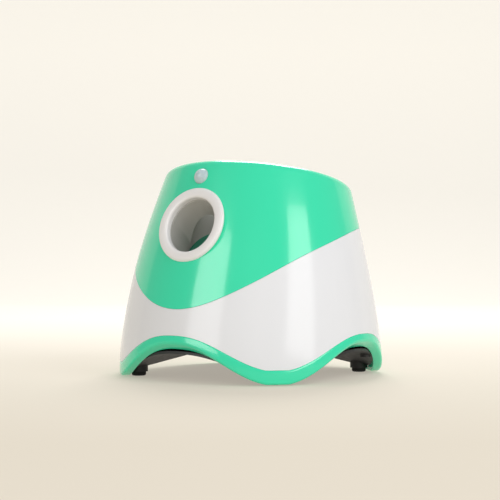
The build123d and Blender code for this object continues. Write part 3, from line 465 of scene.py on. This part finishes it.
muzzle = {"tilt": 18.3, "height": .145, "proud": .0022, "outer": .0363, "inner": .0264, "hole": .0326,
          "crown": .0005, "innerRound": .0021, "outerRound": .0026, "neckGap": .0003, "neckFrom": .0082,
          "neckWall": .002, "depth": .0122, "back": .0067, "reach": .02}
muzzleOut = unit([0, -math.cos(math.radians(muzzle["tilt"])), math.sin(math.radians(muzzle["tilt"]))])
muzzleSkin = skin(np.array(0.0), np.array(muzzle["height"]))
muzzleAt = np.array([0, muzzleSkin[1] - muzzle["proud"], muzzle["height"]])

# The lens faces the way that the skin does halfway between faceFrom and its own height.
pir = {"height": .190, "faceFrom": .150, "radius": .0078, "fit": 1e-4, "proud": .005, "flange": .0092,
       "front": .0037, "back": .0048, "wall": .0012, "brim": .0005, "hollow": (.9, .88), "pole": 1e-6,
       "reach": .008}
pirOut = skinOut(np.array(0.0), np.array((pir["faceFrom"] + pir["height"]) / 2))
pirAt = skin(np.array(0.0), np.array(pir["height"]))


def makeUpperShell():
    # One closed section: up the wall, round the rim, over the deck to the mouth and back down inside.
    low = seamHeight(turns) + seam["gap"] / 2
    wall, edge, mouth, lip = casing["wall"], seam["edge"], rim["mouth"], rim["lip"]
    bevel = rim["bevel"] * lip
    top, arc = rimRounding(turns, 0, rim["round"], steps=12)
    innerTop, innerArc = rimRounding(turns, wall, rim["round"] - wall, steps=6)
    radii = [mouth + rim["deck"][0], mouth + rim["deck"][1], mouth + lip, mouth + bevel, mouth]
    outerDeck = mouthRows(arc[-1], 0, radii, [0, 0, 0, bevel, lip])
    innerDeck = mouthRows(innerArc[-1], wall, [mouth, mouth + rim["under"]], [0, 0])
    rows = [skin(turns, low, edge)[None], wallRows(turns, low + edge, top, rows=60), arc[1:], outerDeck,
            innerDeck, innerArc[::-1], wallRows(turns, innerTop, low, rows=16, inset=wall)[1:]]
    shell = gridPiece("upperShell", np.concatenate(rows), closeRows=True)
    bore(shell, muzzleAt, muzzleOut, muzzle["hole"], muzzle["reach"])
    bore(shell, pirAt, pirOut, pir["radius"] - pir["fit"], pir["reach"])
    return seat(shell, "mint_plastic", "housing", "upper_shell")


controls = {"height": .112, "tilt": 8.84, "offset": .021, "button": .007, "pitch": .007, "pipe": .002,
            "jackHeight": .072, "jackTilt": 13.13, "jack": .0052, "gap": .0003, "fit": 1e-4,
            "reach": .008}


def rearSpot(x, height):
    # The point of the rear wall at one side distance and height.
    height = np.array(height)
    return skin(np.pi - np.arcsin(x / halfAt(height)), height)


def tiltOut(degrees):
    # The rearward direction, turned up by the angle.
    return np.array([0, math.cos(math.radians(degrees)), math.sin(math.radians(degrees))])


def makeLowerShell():
    # One closed section, up the wall to the seam and back down inside, with holes for what sits behind.
    wall, edge = casing["wall"], seam["edge"]
    high = seamHeight(turns) - seam["gap"] / 2
    low = archLine(turns, arch["band"])
    rows = [wallRows(turns, low, high - edge, rows=90), skin(turns, high, edge)[None],
            skin(turns, high, wall)[None],
            wallRows(turns, high - seam["step"], low, rows=24, inset=wall)]
    shell = gridPiece("lowerShell", np.concatenate(rows), closeRows=True)
    outward, level, reach = tiltOut(controls["tilt"]), controls["height"], controls["reach"]
    for x in (-controls["offset"], controls["offset"]):
        bore(shell, rearSpot(x, level), outward, controls["button"] + controls["gap"], reach)
    for number in (-1, 0, 1):
        spot = rearSpot(number * controls["pitch"], level)
        bore(shell, spot, outward, controls["pipe"] + controls["fit"], reach)
    spot = rearSpot(0, controls["jackHeight"])
    bore(shell, spot, tiltOut(controls["jackTilt"]), controls["jack"] + controls["fit"], reach)
    return seat(shell, "white_plastic", "housing", "lower_shell")


def makeBaseTrim():
    # The section (inset s, height h over the arch line) goes round the skirt. Its underside slopes up
    # outwards by flare k^2 (1 - s / depth), with k the arch line's share of the crown, and the
    # shoulder eases that into the wall.
    edge, depth, band = arch["edge"], arch["depth"], arch["band"]
    small, bevel = arch["innerRound"], arch["bevel"]
    under = quarterArc(edge, edge, edge, 180, 270, steps=9) + [(depth / 2, 0)]
    under += quarterArc(depth - small, small, small, 270, 360, steps=5)
    section = [(0, band - bevel, 0)] + [(0, band * height, share) for height, share in arch["shoulder"]]
    section += [(inset, height, 1 - inset / depth) for inset, height in under]
    section += [(depth, band / 2, 0), (depth, band, 0), (bevel, band, 0)]
    line = archLine(turns)
    flare = arch["flare"] * ((line - arch["foot"]) / (arch["crown"] - arch["foot"])) ** 2
    rows = [skin(turns, line + height + share * flare, inset) for inset, height, share in section]
    trim = gridPiece("baseTrim", np.array(rows), closeRows=True, sharp=50)
    return seat(trim, "mint_plastic", "housing", "base_trim")


def makeMuzzleRing():
    # A crowned face with a small inner and a larger outer rounding; the back tapers to the neck.
    inner, outer, crown = muzzle["inner"], muzzle["outer"], muzzle["crown"]
    small, large = muzzle["innerRound"], muzzle["outerRound"]
    depth, back, neck = muzzle["depth"], muzzle["back"], muzzle["hole"] + muzzle["neckGap"]
    throat = neck - muzzle["neckWall"]
    profile = [(inner, -back)] + quarterArc(inner + small, -small - crown, small, 180, 90, steps=7)
    profile += [((inner + outer) / 2, 0)]
    profile += quarterArc(outer - large, -large - crown, large, 90, 0, steps=9)
    profile += [(neck, -muzzle["neckFrom"]), (neck, -depth), (throat, -depth), (throat, -back)]
    ring = turned("muzzleRing", profile, muzzleAt, muzzleOut, cols=192)
    return seat(ring, "ring_white_plastic", "housing", "muzzle_ring")


striker = {"tilt": 40, "radius": .0245, "face": .038, "rear": .058, "round": .0025, "cup": .003,
           "dish": .026}
barrelTilt = math.radians(striker["tilt"])
downBarrel = np.array([0, math.cos(barrelTilt), -math.sin(barrelTilt)])


def makeStrikerHead():
    # A dished face: depth cup - (dish - sqrt(dish^2 - r^2)) at the radius r, then a flat rim and
    # rounded edges.
    cup, dish, soft = striker["cup"], striker["dish"], striker["round"]
    edge = math.sqrt(dish ** 2 - (dish - cup) ** 2)
    radii = np.linspace(pole, edge, 12)
    profile = [(r, striker["face"] + cup - dish + math.sqrt(dish ** 2 - r ** 2)) for r in radii]
    profile += quarterArc(striker["radius"] - soft, striker["face"] + soft, soft, 270, 360, steps=6)
    profile += quarterArc(striker["radius"] - soft, striker["rear"] - soft, soft, 0, 90, steps=6)
    profile += [(pole, striker["rear"])]
    head = turned("strikerHead", profile, muzzleAt, downBarrel, cols=96)
    return seat(head, "green_rubber", "striker", "striker_head")


def makePirLens():
    # A dome of radius (base^2 + rise^2) / (2 rise), a flange behind the shell and a hollow inside.
    base, rise, middle = pir["radius"] - 2 * pir["fit"], pir["proud"], pir["pole"]
    radius = (base ** 2 + rise ** 2) / (2 * rise)
    polar = np.linspace(0, math.asin(base / radius), 14)
    profile = [(middle + radius * math.sin(a), rise - radius + radius * math.cos(a)) for a in polar]
    flange, front, back, inner = pir["flange"], -pir["front"], -pir["back"], base - pir["wall"]
    profile += [(base, front), (flange, front), (flange, back), (inner, back), (inner, -pir["brim"])]
    wide, deep = pir["hollow"]
    profile += [(middle + wide * radius * math.sin(a), rise - radius + deep * radius * math.cos(a))
                for a in polar[::-1]]
    lens = turned("pirLens", profile, pirAt, pirOut, cols=96, sharp=50)
    return seat(lens, "lens_plastic", "housing", "pir_lens")


spring = {"start": .123, "length": .043, "radius": .0076, "wire": .0009, "turns": 7, "stroke": .030,
          "steps": 40, "sides": 10, "tip": 1e-3}


def makeSpring():
    # A wire tube on a helix: start + wire + (length - 2 wire) t / (2 pi turns) down the barrel,
    # at the radius from its axis. Both ends of the wire close to a point.
    wire, radius, turnsRound = spring["wire"], spring["radius"], 2 * np.pi * spring["turns"]
    t = np.linspace(0, turnsRound, spring["steps"] * spring["turns"] + 1)[:, None, None]
    side = np.array([1.0, 0, 0])
    other = np.cross(downBarrel, side)
    outwards = np.cos(t) * side + np.sin(t) * other
    depth = spring["start"] + wire + (spring["length"] - 2 * wire) * t / turnsRound
    v = np.linspace(0, 2 * np.pi, spring["sides"], endpoint=False)[None, :, None]
    thick = wire * np.where((t > 0) & (t < turnsRound), 1, spring["tip"])
    grid = muzzleAt + (depth + thick * np.sin(v)) * downBarrel + (radius + thick * np.cos(v)) * outwards
    coil = gridPiece("strikerSpring", grid)
    seat(coil, "spring_steel", "housing", "striker_spring")
    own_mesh(coil)
    return coil


chute = {"outlet": (0, -.036, .163), "pocket": .0506, "radius": .027, "moulding": .0022,
         "flange": .0045, "lip": .006, "insideRows": (.03, 1, 26), "outsideRows": (.93, 0, 12)}
pocketAt = muzzleAt + chute["pocket"] * downBarrel
downChute = unit(pocketAt - np.array(chute["outlet"]))


def ringAt(centre, out, radius):
    # A circle square to out, counted from the front: x = r sin t, and -r cos t towards the rear.
    rearward = unit(np.cross(out, [1.0, 0, 0]))
    rearward = rearward * np.sign(rearward[1])
    sideways = np.sin(turns)[:, None] * np.array([1.0, 0, 0])
    return centre + radius * (sideways - np.cos(turns)[:, None] * rearward)


def makeHopper():
    # Straight lines from the lip circle under the deck to the outlet circle, inside and outside.
    moulding = chute["moulding"]
    lipAt = np.array(rim["centre"]) - (casing["wall"] + moulding) * rimOut
    mouth, outlet, radius = rim["mouth"], np.array(chute["outlet"]), chute["radius"]
    inside = [ringAt(lipAt + moulding * rimOut, rimOut, mouth), ringAt(lipAt, rimOut, mouth)]
    ends = ringAt(lipAt, rimOut, mouth), ringAt(outlet, downChute, radius)
    inside += [ends[0] * (1 - s) + ends[1] * s for s in np.linspace(*chute["insideRows"])]
    outs = ringAt(lipAt, rimOut, mouth + moulding), ringAt(outlet, downChute, radius + moulding)
    wide = radius + moulding + chute["flange"]
    flange = ringAt(outlet, downChute, wide)
    above = ringAt(outlet - moulding * downChute, downChute, wide)
    outside = [flange, above]
    outside += [outs[0] * (1 - s) + outs[1] * s for s in np.linspace(*chute["outsideRows"])]
    lips = [ringAt(lipAt, rimOut, mouth + chute["lip"])]
    lips += [ringAt(lipAt + moulding * rimOut, rimOut, mouth + chute["lip"])]
    bowl = gridPiece("hopperBowl", np.array(inside + outside + lips), closeRows=True)
    # The bowl takes the grey of painted shade that the inner white plastic carries.
    return seat(bowl, "inner_white_plastic", "housing", "hopper")


for make in (makeUpperShell, makeLowerShell, makeBaseTrim, makeMuzzleRing, makeStrikerHead, makeSpring,
             makePirLens, makeHopper):
    piece = make()
    print(piece.name, len(piece.data.polygons), "faces")


def weldAndSmooth(sharp=32, reach=2e-6):
    # For the model's own nodes: triangles are welded along their seams; only sharp edges stay sharp.
    group = bpy.data.node_groups.new("weldAndSmooth", "GeometryNodeTree")
    for way in ("INPUT", "OUTPUT"):
        group.interface.new_socket("Geometry", in_out=way, socket_type="NodeSocketGeometry")
    nodes, links = group.nodes, group.links
    start, end = nodes.new("NodeGroupInput"), nodes.new("NodeGroupOutput")
    weld = nodes.new("GeometryNodeMergeByDistance")
    weld.inputs["Distance"].default_value = reach
    faces, edges = nodes.new("GeometryNodeSetShadeSmooth"), nodes.new("GeometryNodeSetShadeSmooth")
    edges.domain = "EDGE"
    angle, under = nodes.new("GeometryNodeInputMeshEdgeAngle"), nodes.new("FunctionNodeCompare")
    under.operation = "LESS_THAN"
    under.inputs["B"].default_value = math.radians(sharp)
    links.new(start.outputs[0], weld.inputs["Geometry"])
    links.new(weld.outputs["Geometry"], faces.inputs["Geometry"])
    links.new(faces.outputs["Geometry"], edges.inputs["Geometry"])
    links.new(angle.outputs["Unsigned Angle"], under.inputs["A"])
    links.new(under.outputs["Result"], edges.inputs["Shade Smooth"])
    links.new(edges.outputs["Geometry"], end.inputs[0])
    return group


smoother = weldAndSmooth()
slotOf = {row["node"]: row["material_slot"] for row in frame["record"]["subparts"]}
for name, node in frame["nodes"].items():
    node.data.materials.clear()
    node.data.materials.append(materials[slotOf[name]])
    node.modifiers.new("smooth", "NODES").node_group = smoother
print("nodes dressed")


# Focus, column and row are in pixels of a square picture, and sensor is in millimetres.
view = {"azimuth": 34.28, "height": .1028, "distance": 1.1103, "focus": 1118.6, "column": 250.93,
        "row": 269.62, "roll": 0.0, "pixels": 500, "sensor": 36.0, "clip": (.05, 30)}
studio = {"near": (.835, .76, .638), "far": (1.28, 1.235, 1.14), "from": -.45, "to": 2.0,
          "ease": ((.09, .1), (.25, .25), (.4, .4), (.67, .7)), "glow": .43, "answer": .44,
          "reach": 3.0, "bend": .9, "rise": 3.2, "sky": (1.0, .985, .96), "skyBright": .45}


def makeCamera():
    # A level camera on a circle round the object; its axis meets the picture at pixel (column, row).
    lens = bpy.data.cameras.new("camera")
    camera = bpy.data.objects.new("camera", lens)
    bpy.context.scene.collection.objects.link(camera)
    a = math.radians(view["azimuth"])
    camera.location = (view["distance"] * math.sin(a), -view["distance"] * math.cos(a), view["height"])
    camera.rotation_euler = (math.pi / 2, math.radians(view["roll"]), a)
    lens.sensor_width = view["sensor"]
    lens.lens = view["focus"] / view["pixels"] * view["sensor"]
    lens.shift_x = (view["pixels"] / 2 - view["column"]) / view["pixels"]
    lens.shift_y = (view["row"] - view["pixels"] / 2) / view["pixels"]
    lens.clip_start, lens.clip_end = view["clip"]
    bpy.context.scene.camera = camera


def makeBackdrop():
    # The floor runs back, bends up on a quarter circle and ends in a wall: (y, z) swept along x.
    reach, bend, rise = studio["reach"], studio["bend"], studio["rise"]
    profile = [(-reach, 0), (0, 0), (reach - bend, 0)]
    angles = np.linspace(.1, math.pi / 2, 12)
    profile += [(reach - bend + bend * math.sin(a), bend - bend * math.cos(a)) for a in angles]
    profile += [(reach, rise)]
    y, z = np.array(profile).T[:, :, None]
    grid = np.stack(np.broadcast_arrays(np.linspace(-2 * reach, 2 * reach, 3), y, z), -1)
    turn = math.radians(view["azimuth"])
    cos, sin = math.cos(turn), math.sin(turn)
    about = np.array([[cos, -sin, 0], [sin, cos, 0], [0, 0, 1]])
    backdrop = gridPiece("backdrop", grid @ about.T, closeCols=False, sharp=80)
    backdrop.data.materials.append(lightTable(turn))


def lightTable(turn):
    # A sheet lit from below: about half of its tone is its own glow, so shadows stay soft.
    # It pales towards the back.
    material, nodes, links, shader = newMaterial("paper")
    place, along = nodes.new("ShaderNodeTexCoord"), nodes.new("ShaderNodeMapping")
    along.inputs["Rotation"].default_value = (0, 0, -turn)
    parts, ramp = nodes.new("ShaderNodeSeparateXYZ"), nodes.new("ShaderNodeMapRange")
    ease = nodes.new("ShaderNodeValToRGB")
    for stop, tone in studio["ease"]:
        ease.color_ramp.elements.new(stop).color = (tone, tone, tone, 1)
    ramp.inputs["From Min"].default_value = studio["from"]
    ramp.inputs["From Max"].default_value = studio["to"]
    links.new(place.outputs["Object"], along.inputs["Vector"])
    links.new(along.outputs["Vector"], parts.inputs["Vector"])
    links.new(parts.outputs["Y"], ramp.inputs["Value"])
    links.new(ramp.outputs["Result"], ease.inputs["Fac"])
    for socket, share in (("Base Color", studio["answer"]), ("Emission Color", 1)):
        ends = [tuple(share * v for v in studio[end]) for end in ("near", "far")]
        links.new(mixOf(nodes, links, ease.outputs["Color"], *ends), shader.inputs[socket])
    shader.inputs["Emission Strength"].default_value = studio["glow"]
    shader.inputs["Roughness"].default_value = .9
    shader.inputs["Specular IOR Level"].default_value = 0
    return material


# A softbox with the use shine shows only in reflections, and one with the use light only lights.
softboxes = {
    "rightStrip": {"azimuth": 78.4, "away": 1.605, "height": .75, "size": (.72, 1.25), "roll": -12,
                   "lean": 0, "bright": 4.2, "use": "shine"},
    "frontStrip": {"azimuth": -7.9, "away": 1.594, "height": .76, "size": (.83, 1.08), "roll": 0,
                   "lean": 0, "bright": 4.2, "use": "shine"},
    "key": {"azimuth": 80, "away": 1.8, "height": 1.2, "size": (1.2, 1.2), "roll": 0, "lean": 32,
            "bright": 3.6, "use": "light", "colour": (.93, .98, 1.06)},
    "fill": {"azimuth": 28, "away": 1.9, "height": .9, "size": (1.2, 1.2), "roll": 0, "lean": 22,
             "bright": 2.3, "use": "light"},
    "back": {"azimuth": 208, "away": 1.2, "height": 1.65, "size": (.9, .9), "roll": 0, "lean": 53,
             "bright": 11, "use": "both"},
}


def makeSoftbox(name, box):
    # A flat lamp at an azimuth, a floor distance and a height, facing inwards and leaning down by lean.
    a = math.radians(box["azimuth"])
    lamp = bpy.data.lights.new(name, "AREA")
    lamp.shape, lamp.size, lamp.size_y = "RECTANGLE", *box["size"]
    lamp.energy = box["bright"] * math.pi * lamp.size * lamp.size_y      # watts = radiance x pi x area
    lamp.color = box.get("colour", (1, 1, 1))
    holder = bpy.data.objects.new(name, lamp)
    bpy.context.scene.collection.objects.link(holder)
    holder.location = (box["away"] * math.sin(a), -box["away"] * math.cos(a), box["height"])
    holder.rotation_euler = (math.pi / 2 - math.radians(box["lean"]), 0, a)
    holder.rotation_euler.rotate_axis("Z", math.radians(box["roll"]))
    holder.visible_diffuse = box["use"] != "shine"
    holder.visible_glossy = box["use"] != "light"


def makeSky(colour, strength):
    # An even light from all round.
    world = bpy.data.worlds.new("studio")
    world.use_nodes = True
    background = world.node_tree.nodes["Background"]
    background.inputs["Color"].default_value = (*colour, 1)
    background.inputs["Strength"].default_value = strength
    bpy.context.scene.world = world


makeCamera()
makeBackdrop()
for name, box in softboxes.items():
    makeSoftbox(name, box)
makeSky(studio["sky"], studio["skyBright"])
bpy.context.scene.view_settings.view_transform = "Standard"
print("studio ready")
